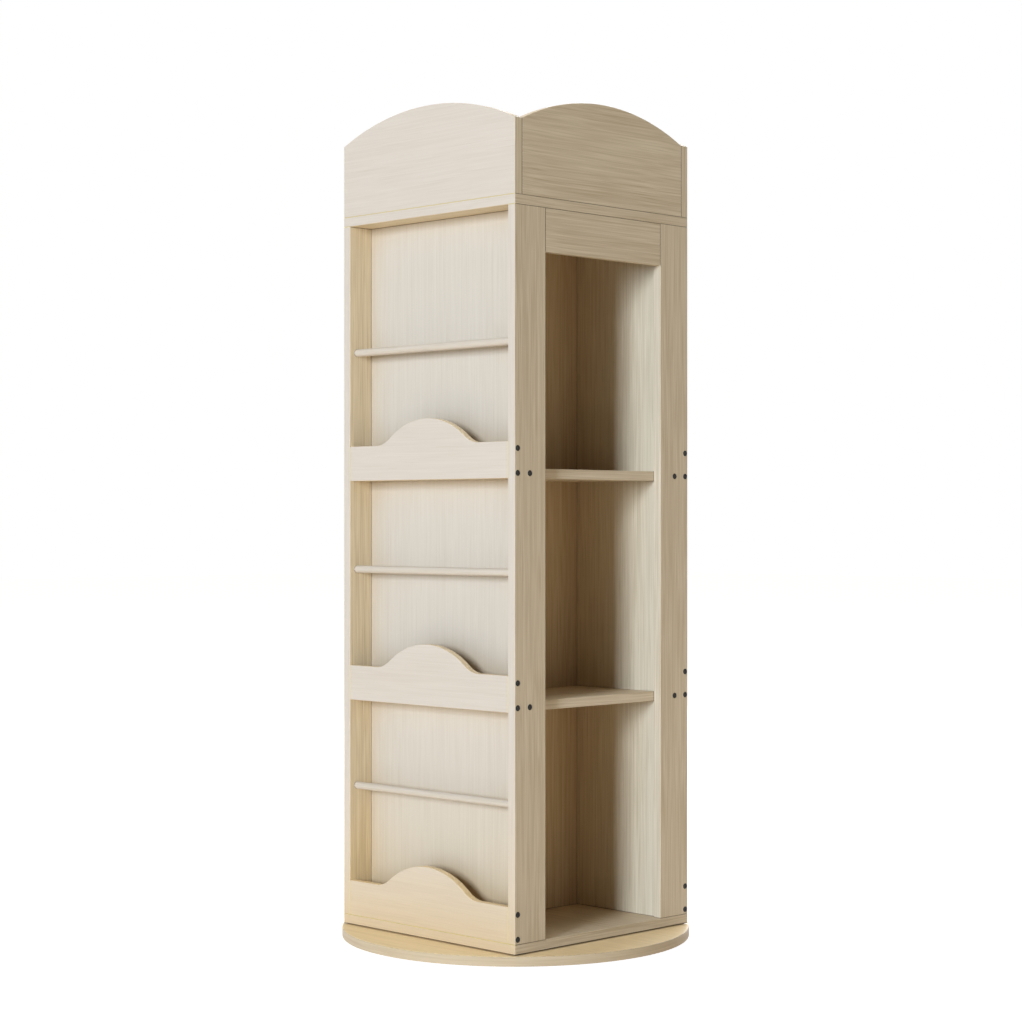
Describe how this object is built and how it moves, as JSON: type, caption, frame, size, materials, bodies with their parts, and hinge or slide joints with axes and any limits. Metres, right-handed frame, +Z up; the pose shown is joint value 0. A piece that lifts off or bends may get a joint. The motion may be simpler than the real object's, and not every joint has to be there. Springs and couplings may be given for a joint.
{
  "type": "revolving bookcase",
  "caption": "Tall square bookcase that turns on a round base: open cubbies on opposite sides, display tiers with hilled guards and round bars between, arched tray on top.",
  "frame": {"origin": "on the floor under the turning axis, level with the undersides of the foot pads", "axes": "+Z up along the turning axis; display sides face -Y and +Y, cubby sides face -X and +X"},
  "size_m": [0.5549, 0.555, 1.305],
  "materials": {
    "case_board": "pale maple-look board, satin, fine straight grain",
    "base_board": "pale maple-look board, satin, fine straight grain",
    "bar_wood": "clear satin turned wood",
    "pin_wood": "raw beech",
    "black_bolt": "black oxide, satin",
    "steel": "zinc-plated steel",
    "bearing_ring": "satin",
    "cage_plastic": "natural nylon",
    "pad_rubber": "matte"
  },
  "bodies": {
    "base": {"base_disc": "base_board", "foot_pads": "pad_rubber", "bearing_outer_ring": "bearing_ring", "outer_ring_screws": "steel"},
    "ball_cage": {"ball_cage": "cage_plastic", "bearing_balls": "steel"},
    "case": {"arch_back": "case_board", "arch_front": "case_board", "arch_left": "case_board", "arch_pins": "pin_wood", "arch_right": "case_board", "bar_back_bottom": "bar_wood", "bar_back_middle": "bar_wood", "bar_back_top": "bar_wood", "bar_front_bottom": "bar_wood", "bar_front_middle": "bar_wood", "bar_front_top": "bar_wood", "bearing_inner_ring": "bearing_ring", "bolts_back_left": "black_bolt", "bolts_back_right": "black_bolt", "bolts_front_left": "black_bolt", "bolts_front_right": "black_bolt", "bottom_board": "case_board", "bottom_board_screws": "steel", "centre_divider": "case_board", "display_panel_back": "case_board", "display_panel_front": "case_board", "divider_pins": "pin_wood", "fascia_left": "case_board", "fascia_right": "case_board", "guard_back_bottom": "case_board", "guard_back_middle": "case_board", "guard_back_top": "case_board", "guard_front_bottom": "case_board", "guard_front_middle": "case_board", "guard_front_top": "case_board", "inner_ring_screws": "steel", "ledge_back_lower": "case_board", "ledge_back_upper": "case_board", "ledge_front_lower": "case_board", "ledge_front_upper": "case_board", "panel_pins": "pin_wood", "shelf_left_lower": "case_board", "shelf_left_upper": "case_board", "shelf_pins": "pin_wood", "shelf_right_lower": "case_board", "shelf_right_upper": "case_board", "stile_back_left": "case_board", "stile_back_right": "case_board", "stile_front_left": "case_board", "stile_front_right": "case_board", "top_board": "case_board", "top_board_pins": "pin_wood"}
  },
  "joints": [
    {"name": "case_spin", "type": "hinge", "parent": "base", "child": "case", "pos_m": [0, 0, 0.0137], "axis": [0, 0, 1], "continuous": true},
    {"name": "cage_spin", "type": "hinge", "parent": "base", "child": "ball_cage", "pos_m": [0, 0, 0.0137], "axis": [0, 0, 1], "continuous": true}
  ],
  "couplings": [
    {"joint": "cage_spin", "follows": "case_spin", "ratio": 0.4875}
  ]
}
